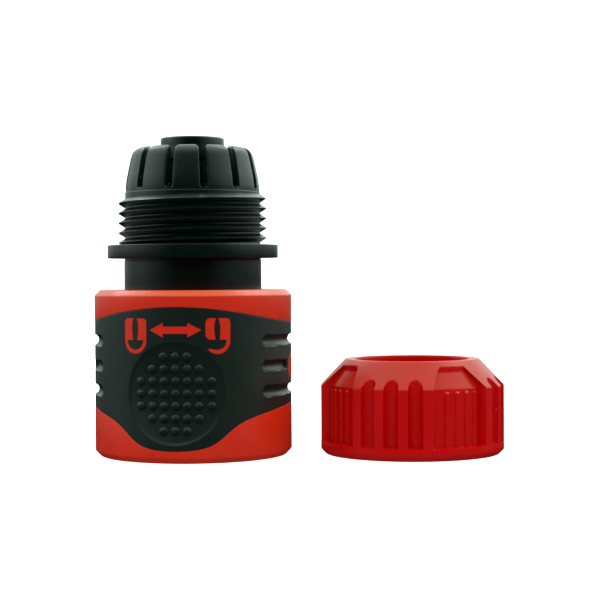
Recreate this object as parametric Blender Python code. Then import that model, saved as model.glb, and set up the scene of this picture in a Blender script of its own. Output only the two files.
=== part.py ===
"""Lockable hose quick connector, with its clamping nut unscrewed and standing beside it.

A tap nipple enters the socket at the bottom, where four claws hold it. The hose is pushed over the barbed
spigot at the top, and the nut squeezes the slotted collet onto it. Pulling the sleeve up against its spring
frees the claws, and turning the sleeve locks it. Sizes are in millimetres here and in metres in the scene.
"""

import math

import bmesh
import bpy
from mathutils import Vector

MM = 0.001

# Driving dimensions
SLEEVE_R = 20.0  # outside of the sleeve, which is the widest piece
SLEEVE_TOP = 33.5
SLEEVE_REST_TURN = -7.0  # degrees that the sleeve's thumb rest is turned from the front
SLIDE_TRAVEL = 6.0
CLAW_TRAVEL = 1.2  # each claw moves out this far over the whole slide
NUT_R = 18.66
NUT_HEIGHT = 19.25
AXIS_DISTANCE = 44.6  # from the connector's axis to the nut's
THREAD_PITCH = 2.0
THREAD_R = 15.05  # an M30 x 2 thread
THREAD_ROOT_R = 13.7
SPIGOT_TOP = 64.3
SPIGOT_R = 6.2  # for a half-inch hose, between the barbs
TIP_R = 6.45
GAP = 0.3  # between pieces that touch on the real object

# Places along X: the whole set is centred on the frame's origin
SPAN = SLEEVE_R + AXIS_DISTANCE + NUT_R
CONNECTOR_X = SLEEVE_R - SPAN / 2
NUT_X = CONNECTOR_X + AXIS_DISTANCE

# Core tube: socket below, spigot above
CORE_R = 11.05
CORE_TOP = 28.0
INNER_TUBE_R = 8.0
SHOULDER_Z = 39.7
NOSE_R = 14.5
NOSE_Z = 2.5
MOUTH_R = 8.8
SEAL_BORE_R = 7.95
SEAL_BORE_Z = 13.8
SEAL_BORE_TOP = 21.0
WATER_R = 4.7
SEAL_GROOVE = (16.0, 18.6)
SEAL_GROOVE_R = 9.8
SEAL_CORD_R = 1.0
BARB_R = 6.65
BARB_EDGES = (59.8, 55.3, 50.8)  # heights at which the barbs step back in
GUIDE_RIB_R = 12.05

# Claws and their windows
CLAW_COUNT = 4
CLAW_HALF_WIDTH = 3.2
CLAW_TIP_R = 7.9
CLAW_SHOULDER_R = CORE_R + 0.15
CLAW_FACE_R = 11.6  # top of the sloping back
CLAW_SLOPE = CLAW_TRAVEL / SLIDE_TRAVEL
WINDOW_Z = (4.3, 8.7)
CLAW_BACK_Z = (4.0, 9.0)

# Clamp body: neck, flange, thread and collet
NECK_R = 13.93
NECK_BORE_R = CORE_R + GAP
NECK_BOTTOM = 26.2
NECK_STEP = (13.0, 29.3)  # radius of the neck's foot, and its top
FLANGE_R = 17.3
FLANGE_Z = (39.9, 42.55)
THREAD_STEPS = 36  # flats in one turn
THREAD_END = 51.85
BAND_TOP = 52.9
COLLET_SLOTS = 12
SLOT_WIDTH = 1.5
SLOT_BOTTOM = 53.5
SLOT_TURN = 13.3  # degrees from the front to the first slot
COLLET_OUTSIDE = ((13.35, 55.4), (13.0, 57.5), (12.6, 59.4), (12.25, 60.6), (11.85, 61.4), (11.3, 61.95), (10.5, 62.3))
COLLET_INSIDE = ((9.55, 62.1), (10.5, 60.0), (11.1, 57.3), (11.55, 54.0))
HOSE_POCKET_FLOOR = 44.0
WEB_BORE_R = BARB_R + GAP

# Lock ring, pushed onto the neck's foot
LOCK_RING_Z = (25.2, 25.9, 29.0)
LOCK_RING_R = 14.9
LOCK_LUG_R = 16.2
LOCK_LUG_Z = (26.9, 28.7)

# Release ring
RING_R = 16.2
RING_TOP = 12.2
RING_SNAP_R = 16.9

# Spring
SPRING_R = 12.9
SPRING_WIRE_R = 0.55
SPRING_TURNS = 5
SPRING_Z = (RING_TOP + GAP, LOCK_RING_Z[0] - GAP)

# Sleeve
SLEEVE_BORE_R = 16.55
SLEEVE_FLOOR_R = 18.3  # bottom of the recess that holds the soft grip
GRIP_FLOOR_R = SLEEVE_FLOOR_R + GAP
SLEEVE_SIDES = 48
WEB_Z = 31.0
WEB_R = NECK_R + 0.33
LUG_HALF_ANGLE = 7.0
SLEEVE_LUG_Z = (17.4, 20.6)
SLEEVE_LUG_R = 15.2
LOCK_TURN = 30.0  # degrees that the sleeve turns from free to locked
PAD_Z = 13.55
PAD_R = 9.95  # measured round the sleeve
PAD_DEPTH = 0.9
DOT_PITCH = 2.4
DOT_R = 0.92
DOT_HEIGHT = 0.38
DOT_ROWS = (1, 2, 3, 3, 3, 2, 1)  # how far each row reaches from its middle dot
BADGE_Z = 17.8
BADGE_R = 2.7
GROOVE_LEVELS = (23.5, 18.53, 13.55)
GROOVE_R = 1.21
GROOVE_DEPTH = 0.9
GROOVE_START = 56.65  # degrees from the thumb rest to the middle of a groove's round end
GROOVE_STOP = 80.3  # the middle groove ends here, beside the badge

# Nut
NUT_CONE_Z = 13.9
NUT_LIP_R = 13.45
NUT_HOLE_R = 11.5
NUT_RIM_Z = 2.5
NUT_RECESS_R = 16.85
NUT_COLLAR_R = 14.63  # the upright wall at the top of a recess
NUT_COLLAR_Z = 17.05
NUT_PANELS = 4
NUT_PANEL_TURN = -17.1  # degrees from the front to the middle of a raised panel
NUT_PANEL_HALF = 8.03  # half the width of a panel, whose sides are parallel
NUT_RIB_ANGLES = (36.6, 44.2, 51.9, 59.6)  # from the front or back panel to the fine ribs in each recess
NUT_RIB_HALF = 0.53
NUT_RIB_HEIGHT = 0.4
NUT_RIB_TOP = 13.35
FLUTE_PITCH = 15.0
FLUTE_R = 1.42
FLUTE_CENTRE_R = 18.32
NUT_THREAD_Z = 1.2
NUT_THREAD_R = 15.3
NUT_MINOR_R = 13.95


def clear_scene():
    for obj in list(bpy.data.objects):
        bpy.data.objects.remove(obj)


def material(name, colour, roughness, metallic=0.0):
    made = bpy.data.materials.new(name)
    made.use_nodes = True
    shader = made.node_tree.nodes["Principled BSDF"]
    shader.inputs["Base Color"].default_value = (*colour, 1.0)
    shader.inputs["Roughness"].default_value = roughness
    shader.inputs["Metallic"].default_value = metallic
    return made


def empty(name, x, turn=0.0):
    """An axis that pieces are parented to."""
    made = bpy.data.objects.new(name, None)
    made.location = (x * MM, 0, 0)
    made.rotation_euler = (0, 0, math.radians(turn))
    bpy.context.scene.collection.objects.link(made)
    return made


def add_object(name, mesh, axis, surface=None, turn=0.0):
    made = bpy.data.objects.new(name, mesh)
    made.parent = axis
    made.rotation_euler = (0, 0, math.radians(turn))
    bpy.context.scene.collection.objects.link(made)
    if surface is not None and not mesh.materials:
        mesh.materials.append(surface)
    return made


def finished_mesh(name, build):
    """The mesh of a bmesh given in millimetres, with its faces pointing out and its round parts smooth."""
    bmesh.ops.recalc_face_normals(build, faces=build.faces)
    bmesh.ops.scale(build, vec=(MM, MM, MM), verts=build.verts)
    mesh = bpy.data.meshes.new(name)
    build.to_mesh(mesh)
    build.free()
    mesh.shade_smooth()
    mesh.set_sharp_from_angle(angle=math.radians(32))
    return mesh


def polar(radius, degrees, z):
    """A point at an angle measured from the front, -Y, towards +X."""
    angle = math.radians(degrees)
    return Vector((radius * math.sin(angle), -radius * math.cos(angle), z))


def bridge(build, first, second, closed=True):
    """Quads between two rows of vertices, or triangles where the rows share a vertex."""
    count = len(first) if closed else len(first) - 1
    for i in range(count):
        j = (i + 1) % len(first)
        corners = [first[i], first[j], second[j], second[i]]
        distinct = list(dict.fromkeys(corners))
        if len(distinct) > 2:
            build.faces.new(distinct)


def ring(build, profile_at, sides, index):
    """One ring of vertices: profile_at(degrees)[index] is its (radius, height) at that angle."""
    made = []
    for k in range(sides):
        degrees = 360 * k / sides
        radius, z = profile_at(degrees)[index]
        made.append(build.verts.new(polar(radius, degrees, z)))
    return made


def turned(name, profile, sides):
    """A closed (radius, height) outline turned round the axis. The outline may depend on the angle."""
    profile_at = profile if callable(profile) else lambda degrees: profile
    build = bmesh.new()
    rings = [ring(build, profile_at, sides, i) for i in range(len(profile_at(0.0)))]
    for i, lower in enumerate(rings):
        bridge(build, lower, rings[(i + 1) % len(rings)])
    return finished_mesh(name, build)


def thread_surface(build, start, end, root_r, crest_r, z_start, sides):
    """A V thread of one ridge between two rings of equal radius, from start at z_start up to end."""
    total = round((end[0].co.z - z_start) * sides / THREAD_PITCH)
    run_out = sides // 6
    root = [start[0]]
    for k in range(1, total):
        z = z_start + THREAD_PITCH * k / sides
        root.append(build.verts.new(polar(root_r, 360 * k / sides, z)))
    root.append(end[total % sides])
    crest = []
    for k in range(total - sides + 1):
        rise = min(1.0, (k + 1) / run_out, (total - sides - k + 1) / run_out)
        z = z_start + THREAD_PITCH * (k / sides + 0.5)
        crest.append(build.verts.new(polar(root_r + (crest_r - root_r) * rise, 360 * k / sides, z)))
    bridge(build, [start[k % sides] for k in range(sides + 1)], root[: sides + 1], closed=False)
    bridge(build, root[: total - sides + 1], crest, closed=False)
    bridge(build, crest, root[sides:], closed=False)
    bridge(build, root[-sides - 1 :], [end[k % sides] for k in range(total - sides, total + 1)], closed=False)
    build.faces.new((root[0], crest[0], root[sides]))
    build.faces.new((root[total - sides], crest[-1], root[total]))


def turned_with_thread(name, profile, thread_from, crest_r, sides):
    """A turned solid whose outline runs up a thread between points thread_from and thread_from + 1."""
    build = bmesh.new()
    rings = [ring(build, lambda degrees: profile, sides, i) for i in range(len(profile))]
    for i, lower in enumerate(rings):
        upper = rings[(i + 1) % len(rings)]
        if i == thread_from:
            thread_surface(build, lower, upper, profile[i][0], crest_r, profile[i][1], sides)
        else:
            bridge(build, lower, upper)
    return finished_mesh(name, build)


def add_block(build, section, stations):
    """A prism: section(t) is a closed row of points at each station t."""
    rows = [[build.verts.new(point) for point in section(t)] for t in stations]
    for first, second in zip(rows, rows[1:]):
        bridge(build, first, second)
    build.faces.new(rows[0])
    build.faces.new(list(reversed(rows[-1])))


def add_sector(build, inner_r, outer_r, heights, middle, half_angle):
    """A block of a ring, between two radii, two heights and two angles."""
    low, high = heights

    def section(degrees):
        corners = ((inner_r, low), (outer_r, low), (outer_r, high), (inner_r, high))
        return [polar(radius, degrees, z) for radius, z in corners]

    add_block(build, section, [middle + half_angle * t for t in (-1, -0.5, 0, 0.5, 1)])


def mesh_of(name, add_shapes):
    build = bmesh.new()
    add_shapes(build)
    return finished_mesh(name, build)


def boolean(target, operation, name, mesh, axis):
    """Cuts a hidden helper from the target, or joins it on."""
    helper = add_object(name, mesh, axis)
    helper.hide_render = True
    helper.display_type = "WIRE"
    modifier = target.modifiers.new(name, "BOOLEAN")
    modifier.operation = operation
    modifier.object = helper
    modifier.solver = "EXACT"


def lug_angles(offset):
    return [offset + 90 * i for i in range(4)]


def barbed_outside():
    """The spigot's outline from its shoulder up to its rounded tip, which is wider than its stem."""
    points = [(SPIGOT_R, SHOULDER_Z), (SPIGOT_R, BARB_EDGES[2] - 0.1)]
    for edge, next_edge in ((BARB_EDGES[2], BARB_EDGES[1]), (BARB_EDGES[1], BARB_EDGES[0])):
        points += [(BARB_R, edge), (SPIGOT_R, next_edge - 0.1)]
    return points + [(BARB_R, BARB_EDGES[0]), (TIP_R, SPIGOT_TOP - 0.5), (TIP_R - 0.45, SPIGOT_TOP)]


def core_tube(axis, surface):
    """The water-carrying moulding: nose ring, socket, inner tube and barbed spigot."""
    outside = [
        (MOUTH_R + 0.8, 0.0),
        (NOSE_R - 0.4, 0.0),
        (NOSE_R, 0.4),
        (NOSE_R, NOSE_Z),
        (CORE_R, NOSE_Z),
        (CORE_R, CORE_TOP),
        (INNER_TUBE_R, CORE_TOP + 1.5),
        (INNER_TUBE_R, SHOULDER_Z),
    ]
    inside = [
        (WATER_R + 0.3, SPIGOT_TOP),
        (WATER_R, SPIGOT_TOP - 0.3),
        (WATER_R, SEAL_BORE_TOP + 2.5),
        (SEAL_BORE_R, SEAL_BORE_TOP),
        (SEAL_BORE_R, SEAL_GROOVE[1]),
        (SEAL_GROOVE_R, SEAL_GROOVE[1]),
        (SEAL_GROOVE_R, SEAL_GROOVE[0]),
        (SEAL_BORE_R, SEAL_GROOVE[0]),
        (SEAL_BORE_R, SEAL_BORE_Z),
        (MOUTH_R, SEAL_BORE_Z - 0.8),
        (MOUTH_R, 0.8),
    ]
    made = add_object("core_tube", turned("core_tube", outside + barbed_outside() + inside, 32), axis, surface)

    def add_window(build):
        half = CLAW_HALF_WIDTH + GAP
        reach = CORE_R + 1.0
        corners = ((-reach, -half), (reach, -half), (reach, half), (-reach, half))
        add_block(build, lambda z: [Vector((x, y, z)) for x, y in corners], WINDOW_Z)

    def add_ribs(build):
        for middle in lug_angles(45.0):
            add_sector(build, CORE_R - 0.6, GUIDE_RIB_R, (9.6, NECK_BOTTOM - GAP), middle, 5.0)

    for i in range(CLAW_COUNT // 2):
        boolean(made, "DIFFERENCE", f"cut_claw_windows_{i + 1}", mesh_of("cut_claw_windows", add_window), axis)
        bpy.data.objects[f"cut_claw_windows_{i + 1}"].rotation_euler[2] = math.radians(90 * i)
    boolean(made, "UNION", "add_guide_ribs", mesh_of("add_guide_ribs", add_ribs), axis)


def clamp_body(axis, surface):
    """The hose-side moulding: neck, flange, external thread and slotted collet."""
    thread_z = FLANGE_Z[1]
    turns = math.floor((THREAD_END - thread_z) / THREAD_PITCH * THREAD_STEPS) / THREAD_STEPS
    thread_top = thread_z + turns * THREAD_PITCH
    profile = [
        (NECK_STEP[0], NECK_BOTTOM),
        NECK_STEP,
        (NECK_R, NECK_STEP[1]),
        (NECK_R, FLANGE_Z[0] - 0.4),
        (NECK_R + 0.4, FLANGE_Z[0]),
        (FLANGE_R - 0.15, FLANGE_Z[0]),
        (FLANGE_R, FLANGE_Z[0] + 0.15),
        (FLANGE_R, FLANGE_Z[1] - 0.25),
        (FLANGE_R - 0.25, FLANGE_Z[1]),
        (THREAD_ROOT_R, thread_z),
        (THREAD_ROOT_R, thread_top),
        (THREAD_ROOT_R, BAND_TOP),
        *COLLET_OUTSIDE,
        *COLLET_INSIDE,
        (11.6, HOSE_POCKET_FLOOR),
        (WEB_BORE_R, HOSE_POCKET_FLOOR),
        (WEB_BORE_R, SHOULDER_Z + GAP),
        (NECK_BORE_R, SHOULDER_Z + GAP),
        (NECK_BORE_R, NECK_BOTTOM),
    ]
    mesh = turned_with_thread("clamp_body", profile, 9, THREAD_R, THREAD_STEPS)
    made = add_object("clamp_body", mesh, axis, surface)

    def slot_outline(half, top):
        """A slot's outline seen along its length: straight sides and a round bottom."""
        centre = SLOT_BOTTOM + half
        arc = [(half * math.cos(a), centre + half * math.sin(a)) for a in (math.pi * k / 6 for k in range(6, 13))]
        return [(-half, top), *arc, (half, top)]

    outline = slot_outline(SLOT_WIDTH / 2, SPIGOT_TOP)

    def add_slot(build, degrees):
        across = polar(1.0, degrees + 90, 0.0)
        along = polar(1.0, degrees, 0.0)

        def section(reach):
            return [along * reach + across * side + Vector((0, 0, z)) for side, z in outline]

        add_block(build, section, (THREAD_R + 1, INNER_TUBE_R))

    def add_slots(build):
        for i in range(COLLET_SLOTS):
            add_slot(build, SLOT_TURN + 360 * i / COLLET_SLOTS)

    boolean(made, "DIFFERENCE", "cut_collet_slots", mesh_of("cut_collet_slots", add_slots), axis)


def add_rib_notches(build):
    """Adds the cutters that let a ring slide along the core's guide ribs."""
    for middle in lug_angles(45.0):
        add_sector(build, CORE_R - 0.5, GUIDE_RIB_R + GAP, (6.0, 27.0), middle, 7.0)


def lock_ring(axis, surface):
    """The ring on the neck's foot. It backs the spring, and its lugs stop the sleeve rising once it is turned."""
    low, step, high = LOCK_RING_Z
    profile = [
        (NECK_BORE_R + GAP, low),
        (LOCK_RING_R, low),
        (LOCK_RING_R, high),
        (NECK_STEP[0] + GAP, high),
        (NECK_STEP[0] + GAP, step),
        (NECK_BORE_R + GAP, step),
    ]
    made = add_object("lock_ring", turned("lock_ring", profile, 32), axis, surface)

    def add_lugs(build):
        for middle in lug_angles(SLEEVE_REST_TURN):
            add_sector(build, LOCK_RING_R - 0.5, LOCK_LUG_R, LOCK_LUG_Z, middle, LUG_HALF_ANGLE)

    boolean(made, "UNION", "add_lock_lugs", mesh_of("add_lock_lugs", add_lugs), axis)
    boolean(made, "DIFFERENCE", "cut_lock_notches", mesh_of("cut_lock_notches", add_rib_notches), axis)


def socket_seal(axis, surface):
    """The O-ring in the socket's groove."""
    middle_z = sum(SEAL_GROOVE) / 2
    middle_r = SEAL_GROOVE_R - 0.25 - SEAL_CORD_R
    circle = [math.radians(45 * k) for k in range(8)]
    profile = [(middle_r + SEAL_CORD_R * math.cos(a), middle_z + SEAL_CORD_R * math.sin(a)) for a in circle]
    add_object("socket_seal", turned("socket_seal", profile, 32), axis, surface)


def claw_back(z):
    """The radius of a claw's sloping back, which follows the release ring's cone."""
    return CLAW_FACE_R + CLAW_SLOPE * (CLAW_BACK_Z[1] - z)


def locking_claws(axis, surface):
    """Claws in the core's windows. Each tip is ramped below, where the nipple comes in, and square above."""
    low, high = WINDOW_Z[0] + GAP, WINDOW_Z[1] - GAP
    bottom, top = CLAW_BACK_Z
    outline = [
        (CLAW_TIP_R, low + 1.0),
        (CLAW_TIP_R, high),
        (CLAW_SHOULDER_R, high),
        (CLAW_SHOULDER_R, top),
        (claw_back(top), top),
        (claw_back(bottom), bottom),
        (CLAW_SHOULDER_R, bottom),
        (CLAW_SHOULDER_R, low),
        (CLAW_TIP_R + 0.8, low),
    ]

    def section(side):
        return [Vector((side, -math.sqrt(radius**2 - side**2), z)) for radius, z in outline]

    stations = [CLAW_HALF_WIDTH * t for t in (-1, -0.5, 0, 0.5, 1)]
    mesh = mesh_of("locking_claw", lambda build: add_block(build, section, stations))
    for i in range(CLAW_COUNT):
        add_object(f"locking_claw_{i + 1}", mesh, axis, surface, turn=360 * i / CLAW_COUNT)


def release_ring(axis, surface):
    """The ring that slides with the sleeve. Its cone holds the claws in, and lets them out as it rises."""
    cone_top = 9.3
    under = NOSE_Z + 0.35
    profile = [
        (NOSE_R + 0.35, 0.4),
        (RING_R, 0.4),
        (RING_R, 5.9),
        (RING_SNAP_R, 6.2),
        (RING_SNAP_R, 6.7),
        (RING_R, 7.0),
        (RING_R, RING_TOP),
        (CORE_R + 0.35, RING_TOP),
        (CORE_R + 0.35, cone_top + 0.9),
        (claw_back(cone_top) + GAP, cone_top),
        (claw_back(under) + GAP, under),
        (NOSE_R + 0.35, under),
    ]
    made = add_object("release_ring", turned("release_ring", profile, 32), axis, surface)

    boolean(made, "DIFFERENCE", "cut_rib_notches", mesh_of("cut_rib_notches", add_rib_notches), axis)


def return_spring(axis, surface):
    """The coil that pushes the release ring down, drawn along a helix with closed ends."""
    steps = 16 * SPRING_TURNS
    low, high = (SPRING_Z[0] + SPRING_WIRE_R, SPRING_Z[1] - SPRING_WIRE_R)
    wire = [math.radians(360 * k / 6) for k in range(6)]

    def section(step):
        degrees = 360 * SPRING_TURNS * step / steps
        z = low + (high - low) * step / steps
        points = [(SPRING_R + SPRING_WIRE_R * math.cos(a), z + SPRING_WIRE_R * math.sin(a)) for a in wire]
        return [polar(radius, degrees, height) for radius, height in points]

    mesh = mesh_of("return_spring", lambda build: add_block(build, section, range(steps + 1)))
    add_object("return_spring", mesh, axis, surface)


def grip_edges(degrees):
    """Lower and upper edge of the soft grip at an angle from a thumb rest. It has one on each side."""
    from_pad = abs((degrees + 90) % 180 - 90)
    upper = 28.65 + 1.62 * math.cos(math.radians(2 * from_pad))
    step = 2.15 * (1 + math.tanh((from_pad - 29) / 9.5))
    return 2.48 + step + 3.8 * math.sin(math.radians(from_pad)) ** 2, upper


def sleeve_shell(axis, surface):
    """The hard sleeve, recessed round its middle for the soft grip."""
    edge = 0.2

    def profile(degrees):
        low, high = grip_edges(degrees)
        return [
            (SLEEVE_BORE_R + 0.4, 0.0),
            (SLEEVE_R - 1.2, 0.0),
            (SLEEVE_R, 1.15),
            (SLEEVE_R, low - edge),
            (SLEEVE_FLOOR_R, low - edge),
            (SLEEVE_FLOOR_R, high + edge),
            (SLEEVE_R, high + edge),
            (SLEEVE_R, SLEEVE_TOP - 1.1),
            (SLEEVE_R - 1.1, SLEEVE_TOP),
            (WEB_R, SLEEVE_TOP),
            (WEB_R, WEB_Z),
            (SLEEVE_BORE_R, WEB_Z),
            (SLEEVE_BORE_R, 7.4),
            (RING_SNAP_R + GAP, 7.1),
            (RING_SNAP_R + GAP, 5.8),
            (SLEEVE_BORE_R, 5.5),
            (SLEEVE_BORE_R, 0.4),
        ]

    made = add_object("sleeve_shell", turned("sleeve_shell", profile, SLEEVE_SIDES), axis, surface)

    def add_lugs(build):
        for middle in lug_angles(LOCK_TURN):
            add_sector(build, SLEEVE_LUG_R, SLEEVE_BORE_R + 0.6, SLEEVE_LUG_Z, middle, LUG_HALF_ANGLE)

    def add_badges(build):
        for side in (90.0, 270.0):
            add_radial_disc(build, side, BADGE_R, SLEEVE_FLOOR_R - 0.8, SLEEVE_R - 0.25)

    boolean(made, "UNION", "add_sleeve_lugs", mesh_of("add_sleeve_lugs", add_lugs), axis)
    boolean(made, "UNION", "add_side_badges", mesh_of("add_side_badges", add_badges), axis)


def add_radial_disc(build, degrees, radius, near, far):
    """A disc whose axis points out of the sleeve, at the badge's height."""
    outward = polar(1.0, degrees, 0.0)
    across = polar(1.0, degrees + 90, 0.0)
    angles = [math.radians(360 * k / 20) for k in range(20)]

    def section(reach):
        middle = outward * reach + Vector((0, 0, BADGE_Z))
        return [middle + across * radius * math.cos(a) + Vector((0, 0, radius * math.sin(a))) for a in angles]

    add_block(build, section, (near, far))


def add_groove(build, start, end, z, round_start, round_end):
    """A round-bottomed groove round the grip from one angle to another. Its ends are round or flat."""
    centre_r = SLEEVE_R + GROOVE_R - GROOVE_DEPTH
    circle = [math.radians(360 * k / 10) for k in range(10)]
    cap = [(math.degrees(GROOVE_R * reach / SLEEVE_R), math.sqrt(1 - reach**2)) for reach in (0.55, 0.85, 0.97)]

    def section(step):
        degrees, share = step
        size = GROOVE_R * share
        points = [(centre_r + size * math.cos(a), z + size * math.sin(a)) for a in circle]
        return [polar(radius, degrees, height) for radius, height in points]

    count = round((end - start) / 6)
    steps = [(start - angle, share) for angle, share in reversed(cap)] if round_start else []
    steps += [(start + (end - start) * k / count, 1.0) for k in range(count + 1)]
    steps += [(end + angle, share) for angle, share in cap] if round_end else []
    add_block(build, section, steps)


def add_dish(build, degrees):
    """The lens that hollows a round thumb rest."""
    outward = polar(1.0, degrees, 0.0)
    across = polar(1.0, degrees + 90, 0.0)
    rim_lift = 0.04
    floor = SLEEVE_R - PAD_DEPTH + rim_lift
    rings = []
    for share in (1.0, 0.8, 0.55, 0.28):
        row = []
        for k in range(32):
            angle = math.radians(360 * k / 32)
            turn, rise = PAD_R / SLEEVE_R * share * math.cos(angle), PAD_R * share * math.sin(angle)
            reach = SLEEVE_R * math.cos(turn) - PAD_DEPTH * (1 - share**2) + rim_lift
            side = SLEEVE_R * math.sin(turn)
            row.append(build.verts.new(outward * reach + across * side + Vector((0, 0, PAD_Z + rise))))
        rings.append(row)
    outer = []
    for vertex in rings[0]:
        lifted = vertex.co - outward * vertex.co.dot(outward) + outward * (SLEEVE_R + 2)
        outer.append(build.verts.new(lifted))
    bridge(build, outer, rings[0])
    for first, second in zip(rings, rings[1:]):
        bridge(build, first, second)
    centre = build.verts.new(outward * floor + Vector((0, 0, PAD_Z)))
    top = build.verts.new(outward * (SLEEVE_R + 2) + Vector((0, 0, PAD_Z)))
    for row, tip in ((rings[-1], centre), (outer, top)):
        for i, vertex in enumerate(row):
            build.faces.new((vertex, row[(i + 1) % len(row)], tip))


def add_dots(build, degrees):
    """Domes on a thumb rest's hollow floor."""
    outward = polar(1.0, degrees, 0.0)
    across = polar(1.0, degrees + 90, 0.0)
    for row, reach in enumerate(DOT_ROWS, -3):
        for column in range(-reach, reach + 1):
            turn, rise = column * DOT_PITCH / SLEEVE_R, row * DOT_PITCH
            share = math.hypot(column * DOT_PITCH, rise) / PAD_R
            normal = outward * math.cos(turn) + across * math.sin(turn)
            sideways = across * math.cos(turn) - outward * math.sin(turn)
            floor = normal * (SLEEVE_R - PAD_DEPTH * (1 - share**2)) + Vector((0, 0, PAD_Z + rise))
            add_dome(build, floor, normal, sideways)


def add_dome(build, floor, normal, sideways):
    """A low dome on a floor, with its foot sunk into it."""
    rows = []
    for spread, lift in ((1.0, -0.35), (1.0, 0.0), (0.75, 0.66), (0.3, 0.95)):
        row = []
        for k in range(8):
            angle = math.radians(11 + 45 * k)
            flat = sideways * math.cos(angle) + Vector((0, 0, math.sin(angle)))
            row.append(build.verts.new(floor + flat * DOT_R * spread + normal * DOT_HEIGHT * lift))
        rows.append(row)
    for first, second in zip(rows, rows[1:]):
        bridge(build, first, second)
    build.faces.new(rows[0])
    build.faces.new(list(reversed(rows[-1])))


def sleeve_grip(axis, surface):
    """The soft grip moulded onto the sleeve, with two dotted thumb rests, side grooves and badge holes."""

    def profile(degrees):
        low, high = grip_edges(degrees)
        return [(GRIP_FLOOR_R, low), (SLEEVE_R, low), (SLEEVE_R, high), (GRIP_FLOOR_R, high)]

    made = add_object("sleeve_grip", turned("sleeve_grip", profile, SLEEVE_SIDES), axis, surface)

    def add_grooves(build):
        upper, middle, lower = GROOVE_LEVELS
        for side in (0.0, 180.0):
            for level in (upper, lower):
                add_groove(build, side + GROOVE_START, side + 180 - GROOVE_START, level, True, True)
            add_groove(build, side + GROOVE_START, side + GROOVE_STOP, middle, True, False)
            add_groove(build, side + 180 - GROOVE_STOP, side + 180 - GROOVE_START, middle, False, True)

    def add_badge_holes(build):
        for side in (90.0, 270.0):
            add_radial_disc(build, side, BADGE_R + GAP, GRIP_FLOOR_R - 2, SLEEVE_R + 2)

    def add_dishes(build):
        add_dish(build, 0.0)
        add_dish(build, 180.0)

    def add_all_dots(build):
        add_dots(build, 0.0)
        add_dots(build, 180.0)

    boolean(made, "DIFFERENCE", "cut_grooves", mesh_of("cut_grooves", add_grooves), axis)
    boolean(made, "DIFFERENCE", "cut_badge_holes", mesh_of("cut_badge_holes", add_badge_holes), axis)
    boolean(made, "DIFFERENCE", "cut_thumb_rests", mesh_of("cut_thumb_rests", add_dishes), axis)
    boolean(made, "UNION", "add_thumb_dots", mesh_of("add_thumb_dots", add_all_dots), axis)


def clamp_nut(axis, surface):
    """The nut that squeezes the collet: raised fluted panels between recesses, and an internal thread."""
    sides = 40
    steps = math.floor((10.5 - NUT_THREAD_Z) / THREAD_PITCH * sides)
    thread_top = NUT_THREAD_Z + steps * THREAD_PITCH / sides
    profile = [
        (NUT_MINOR_R, NUT_THREAD_Z),
        (NUT_MINOR_R, thread_top),
        (14.1, thread_top + 0.4),
        (14.1, 13.0),
        (NUT_HOLE_R, 17.4),
        (NUT_HOLE_R, NUT_HEIGHT - 0.2),
        (NUT_HOLE_R + 0.2, NUT_HEIGHT),
        (NUT_LIP_R, NUT_HEIGHT),
        (NUT_LIP_R + 0.28, NUT_HEIGHT - 0.14),
        (NUT_R, NUT_CONE_Z),
        (NUT_R, 1.0),
        (NUT_R - 1.06, 0.0),
        (NUT_THREAD_R + 0.2, 0.0),
    ]
    made = add_object("clamp_nut", turned_with_thread("clamp_nut", profile, 0, NUT_THREAD_R, sides), axis, surface)
    panels = [NUT_PANEL_TURN + 360 * i / NUT_PANELS for i in range(NUT_PANELS)]

    def add_flutes(build):
        circle = [math.radians(36 * k) for k in range(10)]
        for middle in panels:
            for step in (-1, 0, 1):
                centre = polar(FLUTE_CENTRE_R, middle + step * FLUTE_PITCH, 0.0)

                def section(z, centre=centre):
                    return [centre + Vector((FLUTE_R * math.cos(a), FLUTE_R * math.sin(a), z)) for a in circle]

                add_block(build, section, (NUT_RIM_Z, NUT_HEIGHT))

    def add_recesses(build):
        outline = (
            (NUT_RECESS_R, NUT_RIM_Z),
            (NUT_R + 2, NUT_RIM_Z),
            (NUT_R + 2, NUT_HEIGHT + 1),
            (NUT_COLLAR_R, NUT_HEIGHT + 1),
            (NUT_COLLAR_R, NUT_COLLAR_Z),
            (NUT_RECESS_R, NUT_CONE_Z),
        )
        for middle in panels:

            def section(share, middle=middle):
                edges = [math.degrees(math.asin(NUT_PANEL_HALF / radius)) for radius, z in outline]
                angles = [middle + 45 + (45 - edge) * share for edge in edges]
                return [polar(radius, degrees, z) for (radius, z), degrees in zip(outline, angles)]

            add_block(build, section, [t / 3 for t in range(-3, 4)])

    def add_recess_ribs(build):
        bow = [math.radians(45 * k) for k in range(5)]
        for quarter in range(NUT_PANELS):
            for angle in NUT_RIB_ANGLES:
                degrees = NUT_PANEL_TURN + (90 * (quarter + 1) - angle if quarter % 2 else 90 * quarter + angle)
                outward, across = polar(1.0, degrees, 0.0), polar(1.0, degrees + 90, 0.0)
                corners = [(NUT_RIB_HALF * math.cos(a), NUT_RECESS_R + NUT_RIB_HEIGHT * math.sin(a)) for a in bow]
                corners += [(-NUT_RIB_HALF, NUT_RECESS_R - 0.4), (NUT_RIB_HALF, NUT_RECESS_R - 0.4)]

                def section(z, corners=corners, outward=outward, across=across):
                    return [outward * reach + across * side + Vector((0, 0, z)) for side, reach in corners]

                add_block(build, section, (NUT_RIM_Z - 0.4, NUT_RIB_TOP))

    boolean(made, "DIFFERENCE", "cut_flutes", mesh_of("cut_flutes", add_flutes), axis)
    boolean(made, "DIFFERENCE", "cut_recesses", mesh_of("cut_recesses", add_recesses), axis)
    boolean(made, "UNION", "add_recess_ribs", mesh_of("add_recess_ribs", add_recess_ribs), axis)


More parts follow.
